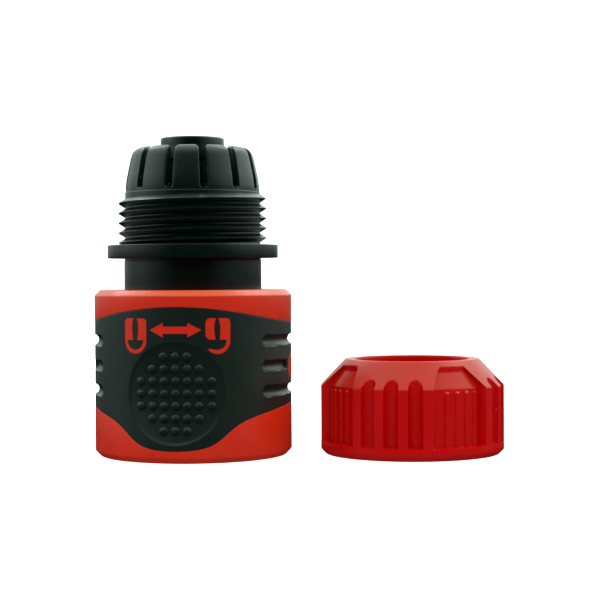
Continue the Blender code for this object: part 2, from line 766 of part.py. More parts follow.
def main():
    clear_scene()
    red = material("red_plastic", (0.62, 0.035, 0.02), 0.38)
    black = material("black_plastic", (0.012, 0.016, 0.015), 0.42)
    rubber = material("grip_rubber", (0.010, 0.015, 0.014), 0.6)
    acetal = material("acetal", (0.62, 0.62, 0.6), 0.45)
    steel = material("spring_steel", (0.6, 0.6, 0.62), 0.3, metallic=1.0)
    seal = material("seal_rubber", (0.015, 0.015, 0.016), 0.7)

    connector = empty("connector_axis", CONNECTOR_X)
    sleeve = empty("sleeve_axis", CONNECTOR_X, SLEEVE_REST_TURN)
    nut = empty("nut_axis", NUT_X)

    core_tube(connector, black)
    clamp_body(connector, black)
    lock_ring(connector, acetal)
    socket_seal(connector, seal)
    locking_claws(connector, acetal)
    release_ring(connector, acetal)
    return_spring(connector, steel)
    sleeve_shell(sleeve, red)
    sleeve_grip(sleeve, rubber)
    clamp_nut(nut, red)


main()
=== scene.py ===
"""The look of the hose connector and its loose nut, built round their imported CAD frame.

Shapes are given in millimetres round their own axis, with angles measured from the front, -Y, towards +X.
They become metres in the frame when a piece is placed.
"""

import math

import bmesh
import bpy
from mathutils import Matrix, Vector


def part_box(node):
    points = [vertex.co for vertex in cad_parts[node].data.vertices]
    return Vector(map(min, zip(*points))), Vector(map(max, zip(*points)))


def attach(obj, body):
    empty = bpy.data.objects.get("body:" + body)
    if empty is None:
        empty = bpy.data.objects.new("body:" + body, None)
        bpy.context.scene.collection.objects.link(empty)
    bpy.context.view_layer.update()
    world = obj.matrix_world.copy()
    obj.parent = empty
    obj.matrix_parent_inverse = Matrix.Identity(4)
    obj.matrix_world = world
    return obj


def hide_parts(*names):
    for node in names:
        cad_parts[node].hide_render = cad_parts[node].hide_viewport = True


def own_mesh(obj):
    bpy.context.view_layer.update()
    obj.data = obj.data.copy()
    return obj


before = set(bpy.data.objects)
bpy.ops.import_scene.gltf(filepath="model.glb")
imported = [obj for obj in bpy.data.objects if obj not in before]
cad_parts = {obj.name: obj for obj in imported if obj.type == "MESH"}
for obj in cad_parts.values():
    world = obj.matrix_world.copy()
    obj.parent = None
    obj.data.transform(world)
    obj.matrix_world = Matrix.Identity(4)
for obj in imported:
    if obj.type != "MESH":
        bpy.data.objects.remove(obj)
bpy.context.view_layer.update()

MM = 0.001


def axis_of(node):
    """The X of a CAD node's upright axis, in millimetres."""
    low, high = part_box(node)
    return (low.x + high.x) / 2 / MM


CONNECTOR_X = axis_of("core_tube")
NUT_X = axis_of("clamp_nut")
SPIGOT_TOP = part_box("core_tube")[1].z / MM
TIP_R = 6.45
SLEEVE_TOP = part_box("sleeve_shell")[1].z / MM
NUT_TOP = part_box("clamp_nut")[1].z / MM

SLEEVE_TURN = -7.0
NUT_TURN = -17.1
SLOT_TURN = 13.3

NECK_R = 13.93
FLANGE_R = 17.3
FLANGE_Z = (39.9, 42.5)
THREAD_ROOT_R = 13.7
THREAD_CREST_R = 15.05
THREAD_PITCH = 2.0
SLEEVE_R = 20.0
GRIP_R = 19.97
INLAY_R = 19.995
PAD_Z = 13.55
PAD_R = 9.95
PAD_DEPTH = 1.0
PAD_STEP = 0.16
DOT_LIFT = 0.57
DOT_PITCH = 2.4
GROOVE_LEVELS = (23.5, 18.53, 13.55)
GROOVE_START = 53.3
GROOVE_STOP = 80.3
BADGE_Z = 17.8
BADGE_R = 2.7
PANEL_HALF = 8.03
RIB_ANGLES = (36.6, 44.2, 51.9, 59.6)
STAGE_SIZE = 1500.0
STAGE_COLOUR = (0.8, 0.8, 0.8, 1.0)
STAGE_GLOW = 1.2


# Shapes


def polar(radius, degrees, z):
    angle = math.radians(degrees)
    return (radius * math.sin(angle), -radius * math.cos(angle), z)


def smooth(share):
    share = min(1.0, max(0.0, share))
    return share * share * (3 - 2 * share)


def between(first, last, count):
    """count + 1 evenly spaced values."""
    return [first + (last - first) * k / count for k in range(count + 1)]


def lookup(table, at):
    """Straight-line value from rows of (position, value)."""
    if at <= table[0][0]:
        return table[0][1]
    for (a, low), (b, high) in zip(table, table[1:]):
        if at <= b:
            return low + (high - low) * (at - a) / (b - a)
    return table[-1][1]


class Shape:
    """Points and faces of one piece, in millimetres."""

    def __init__(self):
        self.points = []
        self.faces = []

    def add_rows(self, rows, around=True, along=False, caps=False):
        """Quads between rows of points. around closes each row, along joins the last row to the first."""
        start = len(self.points)
        width = len(rows[0])
        for row in rows:
            self.points.extend(row)
        for i in range(len(rows) if along else len(rows) - 1):
            a = start + i * width
            b = start + (i + 1) % len(rows) * width
            for k in range(width if around else width - 1):
                n = (k + 1) % width
                self.faces.append((a + k, a + n, b + n, b + k))
        if caps:
            self.faces.append(tuple(range(start, start + width)))
            last = start + (len(rows) - 1) * width
            self.faces.append(tuple(range(last, last + width)))
        return self

    def add_turned(self, outline, sides=160):
        """A closed (radius, height) outline turned round the axis."""
        rows = [[polar(r, 360 * k / sides, z) for k in range(sides)] for r, z in outline]
        return self.add_rows(rows, along=True)

    def add_sweep(self, stations, caps=True):
        """A closed row of (radius, degrees, height) at each station."""
        return self.add_rows([[polar(*point) for point in row] for row in stations], caps=caps)


def rounded(corners, steps=4):
    """A closed outline with rounded corners. A corner is (radius, height) or (radius, height, rounding)."""
    outline = []
    for i, corner in enumerate(corners):
        here = Vector(corner[:2])
        if len(corner) == 2:
            outline.append(tuple(here))
            continue
        back = Vector(corners[i - 1][:2]) - here
        ahead = Vector(corners[(i + 1) % len(corners)][:2]) - here
        a = here + back.normalized() * min(corner[2], back.length * 0.49)
        b = here + ahead.normalized() * min(corner[2], ahead.length * 0.49)
        for t in between(0.0, 1.0, steps):
            outline.append(tuple(a * (1 - t) ** 2 + here * 2 * t * (1 - t) + b * t**2))
    return outline


def finished_mesh(name, shape, sharp):
    mesh = bpy.data.meshes.new(name)
    mesh.from_pydata([[c * MM for c in point] for point in shape.points], [], shape.faces)
    build = bmesh.new()
    build.from_mesh(mesh)
    bmesh.ops.remove_doubles(build, verts=build.verts, dist=0.0005 * MM)
    bmesh.ops.recalc_face_normals(build, faces=build.faces)
    build.to_mesh(mesh)
    build.free()
    mesh.shade_smooth()
    mesh.set_sharp_from_angle(angle=math.radians(sharp))
    return mesh


def place(name, shape, body, surface, nodes=(), axis_x=None, turn=0.0, sharp=35.0, cuts=()):
    """Makes a shape into a piece that rides on a body and stands for some CAD nodes."""
    cos, sin = math.cos(math.radians(turn)), math.sin(math.radians(turn))
    shape.points = [(x * cos - y * sin, x * sin + y * cos, z) for x, y, z in shape.points]
    obj = bpy.data.objects.new(name, finished_mesh(name, shape, sharp))
    bpy.context.scene.collection.objects.link(obj)
    for operation, cutter in cuts:
        apply_boolean(obj, operation, cutter)
    obj.data.shade_smooth()
    obj.data.set_sharp_from_angle(angle=math.radians(sharp))
    obj.data.materials.clear()
    obj.data.materials.append(surface)
    obj.location = ((CONNECTOR_X if axis_x is None else axis_x) * MM, 0, 0)
    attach(obj, body)
    if nodes:
        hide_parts(*nodes)
    return obj


def apply_boolean(obj, operation, cutter):
    helper = bpy.data.objects.new("helper", finished_mesh("helper", cutter, 35.0))
    bpy.context.scene.collection.objects.link(helper)
    modifier = obj.modifiers.new("cut", "BOOLEAN")
    modifier.operation = operation
    modifier.object = helper
    modifier.solver = "EXACT"
    bpy.context.view_layer.update()
    evaluated = obj.evaluated_get(bpy.context.evaluated_depsgraph_get())
    result = bpy.data.meshes.new_from_object(evaluated)
    obj.modifiers.clear()
    obj.data = result
    bpy.data.objects.remove(helper)


# Materials


class Nodes:
    """Adds and joins the nodes of one material."""

    def __init__(self, tree):
        self.tree = tree

    def add(self, kind, **settings):
        node = self.tree.nodes.new(kind)
        for key, value in settings.items():
            setattr(node, key, value)
        return node

    def join(self, source, target):
        self.tree.links.new(source, target)

    def math(self, operation, first, second):
        node = self.add("ShaderNodeMath", operation=operation, use_clamp=True)
        for socket, value in zip(node.inputs, (first, second)):
            if isinstance(value, float):
                socket.default_value = value
            else:
                self.join(value, socket)
        return node.outputs[0]

    def ramp(self, source, low, high, dark, light):
        """Maps low..high of a value to dark..light."""
        node = self.add("ShaderNodeMapRange")
        self.join(source, node.inputs["Value"])
        for name, value in (("From Min", low), ("From Max", high), ("To Min", dark), ("To Max", light)):
            node.inputs[name].default_value = value
        return node.outputs["Result"]

    def soft_ramp(self, source, low, high, dark, light):
        result = self.ramp(source, low, high, dark, light)
        result.node.interpolation_type = "SMOOTHSTEP"
        return result

    def noise(self, where, scale, detail=2.0, roughness=0.5):
        node = self.add("ShaderNodeTexNoise")
        self.join(where, node.inputs["Vector"])
        node.inputs["Scale"].default_value = scale
        node.inputs["Detail"].default_value = detail
        node.inputs["Roughness"].default_value = roughness
        return node.outputs["Fac"]

    def stretched(self, where, scale):
        """The same coordinates, squeezed differently along each axis."""
        node = self.add("ShaderNodeMapping")
        self.join(where, node.inputs["Vector"])
        node.inputs["Scale"].default_value = scale
        return node.outputs["Vector"]

    def mix(self, share, first, second):
        node = self.add("ShaderNodeMix", data_type="RGBA")
        self.join(share, node.inputs["Factor"])
        for socket, value in ((node.inputs["A"], first), (node.inputs["B"], second)):
            if isinstance(value, tuple):
                socket.default_value = (*value, 1.0)
            else:
                self.join(value, socket)
        return node.outputs["Result"]


def material(
    name,
    colour,
    other,
    dust,
    dust_share,
    rough,
    grain,
    grain_scale,
    specular=0.5,
    metallic=0.0,
    subsurface=0.0,
    painted_sheen_colour=None,
):
    """A moulded surface: mottled colour, uneven gloss, fine grain, scuffs and dust specks.

    A painted-sheen colour, if given, is painted light on faces that slant upwards: a warmer tint that stands in
    for the light from above.
    """
    made = bpy.data.materials.new(name)
    made.use_nodes = True
    tree = Nodes(made.node_tree)
    shader = made.node_tree.nodes["Principled BSDF"]
    where = tree.add("ShaderNodeTexCoord").outputs["Object"]

    mottle = tree.noise(where, 90.0, 4.0, 0.6)
    base = tree.mix(tree.ramp(mottle, 0.35, 0.65, 0.0, 1.0), colour, other)
    # Painted sheen: faces slanting upwards get the sheen colour, standing in for the light from above.
    if painted_sheen_colour:
        facing = tree.add("ShaderNodeSeparateXYZ")
        tree.join(tree.add("ShaderNodeNewGeometry").outputs["Normal"], facing.inputs["Vector"])
        painted_sheen_share = tree.soft_ramp(facing.outputs["Z"], 0.1, 0.75, 0.0, 1.0)
        painted_sheen_share = tree.math("MULTIPLY", painted_sheen_share, tree.soft_ramp(facing.outputs["Z"], 0.8, 0.95, 1.0, 0.0))
        base = tree.mix(painted_sheen_share, base, painted_sheen_colour)

    cells = tree.add("ShaderNodeTexVoronoi")
    tree.join(where, cells.inputs["Vector"])
    cells.inputs["Scale"].default_value = 620.0
    speck = tree.ramp(cells.outputs["Distance"], 0.075, 0.035, 0.0, 1.0)
    chosen = tree.add("ShaderNodeSeparateColor")
    tree.join(cells.outputs["Color"], chosen.inputs["Color"])
    rare = tree.math("LESS_THAN", chosen.outputs["Red"], dust_share)
    speck = tree.math("MULTIPLY", speck, rare)
    speck = tree.math("MULTIPLY", speck, chosen.outputs["Green"])
    base = tree.mix(speck, base, dust)

    scuffs = tree.noise(tree.stretched(where, (900.0, 900.0, 70.0)), 1.0, 3.0, 0.6)
    scuffs = tree.ramp(scuffs, 0.62, 0.74, 0.0, 1.0)
    tree.join(base, shader.inputs["Base Color"])

    uneven = tree.ramp(tree.noise(where, 260.0, 3.0, 0.6), 0.3, 0.7, rough[0], rough[1])
    uneven = tree.math("ADD", uneven, tree.math("MULTIPLY", scuffs, 0.08))
    tree.join(uneven, shader.inputs["Roughness"])

    height = tree.noise(where, grain_scale, 2.0, 0.6)
    height = tree.math("ADD", height, tree.math("MULTIPLY", scuffs, 0.12))
    bump = tree.add("ShaderNodeBump")
    bump.inputs["Strength"].default_value = 1.0
    bump.inputs["Distance"].default_value = grain
    tree.join(height, bump.inputs["Height"])
    tree.join(bump.outputs["Normal"], shader.inputs["Normal"])

    shader.inputs["Specular IOR Level"].default_value = specular
    shader.inputs["Metallic"].default_value = metallic
    if subsurface:
        shader.inputs["Subsurface Weight"].default_value = subsurface
        shader.inputs["Subsurface Radius"].default_value = (1.0, 0.12, 0.06)
        shader.inputs["Subsurface Scale"].default_value = 0.0012
    return made


# The hose end


def add_thread(shape, crest_z, start, end, root_r, crest_r, rise, run_out, steps=72):
    """A V ridge along a right-handed helix. crest_z is the height of its crest at the front."""
    outward = 1 if crest_r > root_r else -1
    stations = []
    for k in range(round((end - start) * steps / 360) + 1):
        degrees = start + 360 * k / steps
        share = smooth(min((degrees - start) / rise, (end - degrees) / run_out))
        tip = root_r + (crest_r - root_r) * share
        middle = crest_z + THREAD_PITCH * degrees / 360
        section = ((root_r - 0.15 * outward, -0.98), (root_r + 0.03 * outward, -0.9))
        section += ((tip - 0.09 * outward, -0.13), (tip, -0.06))
        section += tuple((radius, -dz) for radius, dz in reversed(section))
        stations.append([(radius, degrees, middle + dz) for radius, dz in section])
    shape.add_sweep(stations)


FINGER_OUTSIDE = ((53.0, 13.6), (54.2, 13.57), (55.9, 13.38), (57.5, 13.05), (59.1, 12.72), (60.0, 12.5))
SLOT_FOOT_LEVELS = (53.0, 53.5, 53.52, 53.56, 53.62, 53.7, 53.8, 53.9, 54.05, 54.25)
FINGER_LEVELS = (
    *((z, lookup(FINGER_OUTSIDE, z)) for z in (*SLOT_FOOT_LEVELS, 55.0, 55.9, 56.7, 57.5, 58.3, 59.1, 59.6, 60.0)),
    (60.4, 12.4),
    (60.8, 12.27),
    (61.1, 12.13),
    (61.4, 11.95),
    (61.65, 11.75),
    (61.85, 11.52),
    (62.0, 11.28),
    (62.12, 11.0),
    (62.2, 10.72),
    (62.24, 10.45),
)
FINGER_INSIDE = ((53.0, 11.6), (57.3, 11.1), (60.0, 10.45), (61.4, 9.95), (62.0, 9.8), (62.24, 9.95))


def finger_loop(z, outer, inner, middle):
    """The outline of one collet finger at a height, between two parallel-sided slots."""
    below = 54.25 - z
    gap = 0.75 if below <= 0 else math.sqrt(max(0.0, 0.5625 - below * below))
    gap += 0.4 * smooth((z - 61.4) / 0.9) ** 2
    corner = 0.28 * min(1.0, gap / 0.5, (outer - inner) / 0.8)

    def on_wall(radius, clear):
        return Vector(polar(radius, 15.0 - math.degrees(math.asin(clear / radius)), z))

    half = []
    arc = 15.0 - math.degrees(math.asin((gap + corner) / outer))
    half += [Vector(polar(outer, arc * t, z)) for t in between(0.0, 1.0, 6)[:-1]]
    a, b, c = on_wall(outer, gap + corner), on_wall(outer, gap), on_wall(outer - corner, gap)
    half += [a * (1 - t) ** 2 + b * 2 * t * (1 - t) + c * t * t for t in between(0.0, 1.0, 4)]
    a, b, c = on_wall(inner + corner, gap), on_wall(inner, gap), on_wall(inner, gap + corner)
    half += [a * (1 - t) ** 2 + b * 2 * t * (1 - t) + c * t * t for t in between(0.0, 1.0, 4)]
    arc = 15.0 - math.degrees(math.asin((gap + corner) / inner))
    half += [Vector(polar(inner, arc * t, z)) for t in between(1.0, 0.0, 4)[1:]]
    mirrored = [Vector((-p.x, p.y, p.z)) for p in reversed(half[1:-1])]
    turn = math.radians(middle)
    cos, sin = math.cos(turn), math.sin(turn)
    return [(p.x * cos - p.y * sin, p.x * sin + p.y * cos, p.z) for p in half + mirrored]


def clamp_body(surface):
    outline = [
        (11.35, 26.2, 0.2),
        (13.0, 26.2, 0.3),
        (13.0, 29.3),
        (NECK_R, 29.3, 0.15),
        (NECK_R, 39.35),
        (13.84, 39.45),
        (13.84, 39.75),
        (14.0, FLANGE_Z[0]),
        (FLANGE_R, FLANGE_Z[0], 0.14),
        (FLANGE_R, FLANGE_Z[1], 0.14),
        (13.75, FLANGE_Z[1], 0.1),
        (THREAD_ROOT_R, 52.0),
        (THREAD_ROOT_R, 53.14, 0.05),
        (13.6, 53.2, 0.03),
        (13.6, 53.48),
        (11.6, 53.48),
        (11.6, 44.0, 0.3),
        (6.95, 44.0, 0.1),
        (6.95, 40.0, 0.1),
        (11.35, 40.0),
    ]
    shape = Shape().add_turned(rounded(outline), 192)
    add_thread(shape, 43.45, -200.0, 1590.0, THREAD_ROOT_R, THREAD_CREST_R, 60.0, 75.0)
    for k in range(12):
        middle = SLOT_TURN + 15 + 30 * k
        rows = [finger_loop(z, outer, lookup(FINGER_INSIDE, z), middle) for z, outer in FINGER_LEVELS]
        shape.add_rows(rows, caps=True)
    for seam in (11.5, 191.5):
        rows = []
        for z, radius in ((43.2, 13.7), (48.0, 13.7), (53.15, 13.72)):
            ridge = ((-0.3, -0.1), (0, 0.09), (0.3, -0.1))
            rows.append([polar(radius + lift, seam + side, z) for side, lift in ridge])
        shape.add_rows(rows, caps=True)
    nodes = ["clamp_body"]
    return place("clamp_body_moulding", shape, "connector_core", surface, nodes, sharp=38.0)


def barbs():
    """The spigot's outline upwards from the clamp body's floor."""
    corners = [(6.2, 39.7), (6.2, 50.75)]
    for low, high in ((50.8, 55.2), (55.3, 59.7), (59.8, 62.6)):
        corners += [(6.65, low, 0.08), (6.2 if high < 62 else TIP_R, high, 0.1)]
    return [*corners, (TIP_R, SPIGOT_TOP, 0.42)]


def core_tube(surface):
    below = [
        (9.6, 0.0, 0.25),
        (14.5, 0.0, 0.4),
        (14.5, 2.5, 0.2),
        (11.05, 2.5, 0.2),
        (11.05, 28.0, 0.3),
        (8.0, 29.5, 0.3),
        (8.0, 39.7, 0.1),
    ]
    inside = [
        (5.0, SPIGOT_TOP, 0.3),
        (4.7, SPIGOT_TOP - 0.5, 0.2),
        (4.7, 23.5, 0.4),
        (7.95, 21.0, 0.4),
        (7.95, 18.6, 0.1),
        (9.8, 18.6, 0.2),
        (9.8, 16.0, 0.2),
        (7.95, 16.0, 0.1),
        (7.95, 13.8, 0.2),
        (8.8, 13.0, 0.3),
        (8.8, 0.8, 0.3),
    ]
    shape = Shape().add_turned(rounded(below + barbs() + inside), 120)
    windows = []
    for turn in (0.0, 90.0):
        cutter = Shape()
        corners = [(-12.0, -3.5), (12.0, -3.5), (12.0, 3.5), (-12.0, 3.5)]
        if turn:
            corners = [(-y, x) for x, y in corners]
        cutter.add_rows([[(x, y, z) for x, y in corners] for z in (4.3, 8.7)], caps=True)
        windows.append(("DIFFERENCE", cutter))
    place("core_tube_moulding", shape, "connector_core", surface, ["core_tube"], cuts=windows)
    ribs = Shape()
    for k in range(4):
        add_sector(ribs, 10.9, 12.05, 9.6, 25.9, 45.0 + 90 * k, 5.0)
    place("core_guide_ribs", ribs, "connector_core", surface)


def add_sector(shape, inner, outer, low, high, middle, half, edge=0.15):
    """A block of a ring with slightly rounded edges."""
    section = rounded([(inner, low, edge), (outer, low, edge), (outer, high, edge), (inner, high, edge)], 2)
    stations = [[(r, middle + half * t, z) for r, z in section] for t in between(-1.0, 1.0, 8)]
    shape.add_sweep(stations)


# The sleeve


def grip_edges(degrees):
    """Lower and upper edge of the soft grip at an angle from a thumb rest."""
    from_pad = abs((degrees + 90) % 180 - 90)
    upper = 28.65 + 1.62 * math.cos(math.radians(2 * from_pad))
    lower = 2.48 + 2.15 * (1 + math.tanh((from_pad - 29) / 9.5)) + 3.8 * math.sin(math.radians(from_pad)) ** 2
    return lower, upper


def sleeve_shell(surface):
    sides = 240
    rows = None
    for k in range(sides):
        low, high = grip_edges(360 * k / sides)
        outline = rounded(
            [
                (16.95, 0.0, 0.3),
                (18.83, 0.0, 0.2),
                (SLEEVE_R, 1.15, 0.25),
                (SLEEVE_R, low - 0.02, 0.03),
                (18.7, low - 0.02),
                (18.7, high + 0.02),
                (SLEEVE_R, high + 0.02, 0.03),
                (SLEEVE_R, SLEEVE_TOP - 1.12, 0.22),
                (18.88, SLEEVE_TOP, 0.2),
                (14.25, SLEEVE_TOP, 0.35),
                (14.25, 31.0, 0.2),
                (16.55, 31.0),
                (16.55, 7.4),
                (17.2, 7.1),
                (17.2, 5.8),
                (16.55, 5.5),
                (16.55, 0.4),
            ]
        )
        if rows is None:
            rows = [[] for _ in outline]
        for row, (radius, z) in zip(rows, outline):
            row.append(polar(radius, 360 * k / sides, z))
    shape = Shape().add_rows(rows, along=True)
    for k in range(4):
        add_sector(shape, 15.2, 16.8, 17.4, 20.6, 30.0 + 90 * k, 7.0)
    nodes = ["sleeve_shell"]
    return place("sleeve_shell_moulding", shape, "sleeve", surface, nodes, turn=SLEEVE_TURN)


def groove_depth(degrees, z):
    """How deep the side grooves are at a point of the grip."""
    side = abs((degrees + 90) % 180 - 90)
    full = smooth((84 - side) / 26)
    half = 1.02 + 0.15 * full
    depth = 0.76 + 0.14 * full
    radius = (half**2 + depth**2) / (2 * depth)
    start = GROOVE_START + math.degrees(half / SLEEVE_R)
    deepest = 0.0
    for level in GROOVE_LEVELS:
        away = math.hypot(max(start - side, 0.0) * math.radians(SLEEVE_R), z - level)
        if away < half:
            cut = math.sqrt(radius**2 - away**2) - (radius - depth)
            if level == GROOVE_LEVELS[1]:
                cut *= smooth((GROOVE_STOP - side) / 0.6)
            deepest = max(deepest, cut)
    return deepest


def sleeve_grip(surface):
    """A fine grid over the grip. Its rows stop at the grip's wavy edges."""
    levels = between(2.3, 10.0, 34)[:-1] + between(10.0, 24.9, 124)[:-1] + between(24.9, 30.2, 24)
    sides = 720
    rows = [[] for _ in range(len(levels) + 2)]
    for k in range(sides):
        degrees = 360 * k / sides
        low, high = grip_edges(degrees)
        from_pad = (degrees + 90) % 180 - 90
        rows[0].append(polar(18.75, degrees, low))
        for row, level in zip(rows[1:], levels):
            z = min(max(level, low), high)
            edge = min(z - low, high - z)
            radius = GRIP_R - 0.03 * (1 - smooth(edge / 0.12))
            radius -= groove_depth(degrees, z)
            share = math.hypot(SLEEVE_R * math.radians(from_pad), z - PAD_Z) / PAD_R
            if share < 1:
                radius -= PAD_DEPTH * (1 - share**2) + PAD_STEP * smooth((1 - share) / 0.045)
            row.append(polar(radius, degrees, z))
        rows[-1].append(polar(18.75, degrees, high))
    shape = Shape().add_rows(rows, along=True)
    for face in (0.0, 180.0):
        add_dots(shape, face)
    nodes = ["sleeve_grip"]
    return place("sleeve_grip_moulding", shape, "sleeve", surface, nodes, turn=SLEEVE_TURN)


def add_dots(shape, face):
    """Domes on a thumb rest, in rows of 3, 5, 7, 7, 7, 5 and 3."""
    outward = Vector(polar(1.0, face, 0.0))
    across = Vector(polar(1.0, face + 90, 0.0))
    up = Vector((0, 0, 1))
    for row, reach in zip(range(-3, 4), (1, 2, 3, 3, 3, 2, 1)):
        for column in range(-reach, reach + 1):
            side, rise = column * DOT_PITCH, row * DOT_PITCH
            angle = math.asin(side / SLEEVE_R)
            share = math.hypot(side, rise) / PAD_R
            surface_r = GRIP_R - PAD_DEPTH * (1 - share**2) - PAD_STEP
            normal = outward * math.cos(angle) + across * math.sin(angle)
            sideways = across * math.cos(angle) - outward * math.sin(angle)
            middle = normal * surface_r + up * (PAD_Z + rise)
            rings = []
            for tilt in (100, 88, 75, 60, 45, 30, 16, 4):
                spread, lift = 0.92 * math.sin(math.radians(tilt)), DOT_LIFT * math.cos(math.radians(tilt))
                ring = []
                for k in range(18):
                    turn = math.radians(20 * k)
                    flat = sideways * math.cos(turn) + up * math.sin(turn)
                    ring.append(tuple(middle + flat * spread + normal * lift))
                rings.append(ring)
            shape.add_rows(rings, caps=True)


def inlay(name, outlines, surface, near=19.6):
    """A flat drawing in (across, height) wrapped onto the sleeve as a thin plate."""
    build = bmesh.new()
    for outline in outlines:
        build.faces.new([build.verts.new((u, 0, z)) for u, z in outline])
    low = min(u for outline in outlines for u, _ in outline)
    high = max(u for outline in outlines for u, _ in outline)
    for k in range(math.floor(low / 0.3), math.ceil(high / 0.3) + 1):
        everything = build.verts[:] + build.edges[:] + build.faces[:]
        bmesh.ops.bisect_plane(build, geom=everything, plane_co=(0.3 * k, 0, 0), plane_no=(1, 0, 0), dist=1e-5)
    bmesh.ops.triangulate(build, faces=build.faces)
    front = build.faces[:]
    lifted = bmesh.ops.extrude_face_region(build, geom=front, use_keep_orig=True)
    outer = {item for item in lifted["geom"] if isinstance(item, bmesh.types.BMVert)}
    for vertex in build.verts:
        radius = INLAY_R if vertex in outer else near
        degrees = math.degrees(vertex.co.x / SLEEVE_R) + SLEEVE_TURN
        vertex.co = Vector(polar(radius, degrees, vertex.co.z)) * MM
    bmesh.ops.recalc_face_normals(build, faces=build.faces)
    mesh = bpy.data.meshes.new(name)
    build.to_mesh(mesh)
    build.free()
    obj = bpy.data.objects.new(name, mesh)
    bpy.context.scene.collection.objects.link(obj)
    mesh.shade_smooth()
    mesh.set_sharp_from_angle(angle=math.radians(35))
    mesh.materials.append(surface)
    obj.location = (CONNECTOR_X * MM, 0, 0)
    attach(obj, "sleeve")
    return obj


def arc(u, z, radius, first, last, steps=10):
    """Points of a circle's arc. Angles are in degrees from +across towards up."""
    angles = [math.radians(a) for a in between(first, last, steps)]
    return [(u + radius * math.cos(a), z + radius * math.sin(a)) for a in angles]


def closed_padlock(u):
    """An upside-down padlock: body above with a slit, and a shackle whose both ends are in the body."""
    width = 2.5
    outline = [(-0.41, 28.1), *arc(-width + 0.75, 27.35, 0.75, 90, 180, 6)]
    outline += arc(0, 23.77, width, 180, 360, 24)
    outline += [*arc(width - 0.75, 27.35, 0.75, 0, 90, 6), (0.41, 28.1)]
    slit = [(0.55, 27.7), (0.67, 27.1), (0.74, 26.3), (0.7, 25.4), (0.58, 24.5), (0.5, 23.93)]
    outline += slit + arc(0, 23.9, 1.87, 0, -180, 18)
    outline += [(-side, z) for side, z in reversed(slit)]
    return [[(u + side, z) for side, z in outline]]


def open_padlock(u):
    """The same padlock with one end of its shackle swung free."""
    left = [*arc(-1.42, 27.2, 0.9, 90, 180, 6), *arc(-1.32, 25.0, 1.0, 180, 270, 6)]
    left += [(-0.35, 24.0), (-0.5, 24.8), (-0.62, 25.8), (-0.58, 26.8), (-0.43, 27.6), (-0.26, 28.1)]
    right = [(0.22, 28.1), (0.45, 27.4), (0.6, 26.6), (0.62, 25.6), (0.55, 24.7), (0.45, 23.95), (1.85, 23.95)]
    right += arc(0, 23.85, 1.85, -8, -80, 10)
    right += [(0.0, 22.02), (-0.6, 22.04), (-1.15, 22.16), (-1.52, 22.35)]
    right += [(-1.8, 21.97), (-1.3, 21.57), (-0.7, 21.31)]
    right += arc(0, 23.8, 2.62, -90, 0, 14) + arc(1.82, 27.3, 0.8, 0, 90, 6)
    return [[(u + side, z) for side, z in outline] for outline in (left, right)]


def double_arrow():
    half, shaft, head, length = 5.1, 0.69, 1.4, 2.7
    neck = half - length
    right = [(neck, shaft), (neck, head), (half, 0.0), (neck, -head), (neck, -shaft)]
    return [[(u + 0.17, 25.85 + z) for u, z in right + [(-u, z) for u, z in reversed(right)]]]


def badge(side):
    return [[(u + side * math.pi * SLEEVE_R / 2, z) for u, z in arc(0, BADGE_Z, BADGE_R, 0, 348.75, 31)]]


# The nut


def nut_face(z):
    """The nut's outer radius at a height, before any recess."""
    rows = ((0.0, 17.6), (0.05, 17.72), (0.85, 18.55), (1.0, 18.66), (13.8, 18.66), (14.0, 18.61), (14.2, 18.45))
    return lookup((*rows, (NUT_TOP - 0.16, 13.76), (NUT_TOP - 0.05, 13.64), (NUT_TOP, 13.45)), z)


def nut_recess(z):
    rows = ((2.0, 16.85), (13.88, 16.85), (14.05, 16.76), (16.95, 14.72), (17.1, 14.64), (20.0, 14.64))
    return lookup(rows, z)


def panel_edge(z):
    """Half the angle of a panel. Its sides are parallel, so the angle grows up the cone."""
    return math.degrees(math.asin(PANEL_HALF / nut_face(z)))


def nut_angles(z):
    """The angles of one row's points, closer together where the surface turns."""
    edge = panel_edge(z)
    inner, outer = edge + 2.6, 89.3 - edge
    panel = [0.0, 4.4, 4.5, 10.5, 10.6, 19.4, 19.5]
    ribs = [rib + side for rib in RIB_ANGLES for side in (-1.9, 1.9)]
    marks = [*panel, edge - 0.3, edge, inner, *(inner + (outer - inner) * (rib - 28.1) / 35.7 for rib in ribs)]
    marks += [outer, 90 - edge, 90.3 - edge, *(90 - mark for mark in reversed(panel))]
    steps = (12, 1, 6, 1, 14, 1, 5, 3, 8, 3, 10, 3, 10, 3, 10, 3, 10, 3, 5, 3, 5, 1, 14, 1, 6, 1, 12)
    quarter = [a for low, high, count in zip(marks, marks[1:], steps) for a in between(low, high, count)[:-1]]
    half = quarter + [180 - a for a in reversed([*quarter[1:], 90.0])]
    return half + [180 + a for a in half]


def nut_radius(degrees, z):
    """The nut's radius at a point, with its flutes, recesses and fine ribs."""
    face = nut_face(z)
    rim = smooth((z - 2.4) / 0.25)
    if rim == 0:
        return face
    from_front = abs((degrees + 90) % 180 - 90)
    from_panel = min(from_front, 90 - from_front)
    radius = face
    for flute in (0.0, 15.0):
        away = 18.32 * math.sin(math.radians(from_panel - flute))
        if abs(away) < 1.42:
            floor = 18.32 * math.cos(math.radians(from_panel - flute)) - math.sqrt(1.42**2 - away**2)
            radius = min(radius, floor)
    edge = panel_edge(z)
    inside = min(smooth((from_front - edge) / 2.6), smooth((90 - edge - from_front) / 0.7))
    if inside > 0:
        recess = nut_recess(z)
        nearest = min(RIB_ANGLES, key=lambda rib: abs(rib - from_front))
        across = math.radians(abs(from_front - nearest)) * 16.85
        if across < 0.53:
            recess += 0.4 * math.sqrt(1 - (across / 0.53) ** 2) * smooth((13.5 - z) / 0.45)
        radius = min(radius, face + (recess - face) * inside)
    return face + (radius - face) * rim


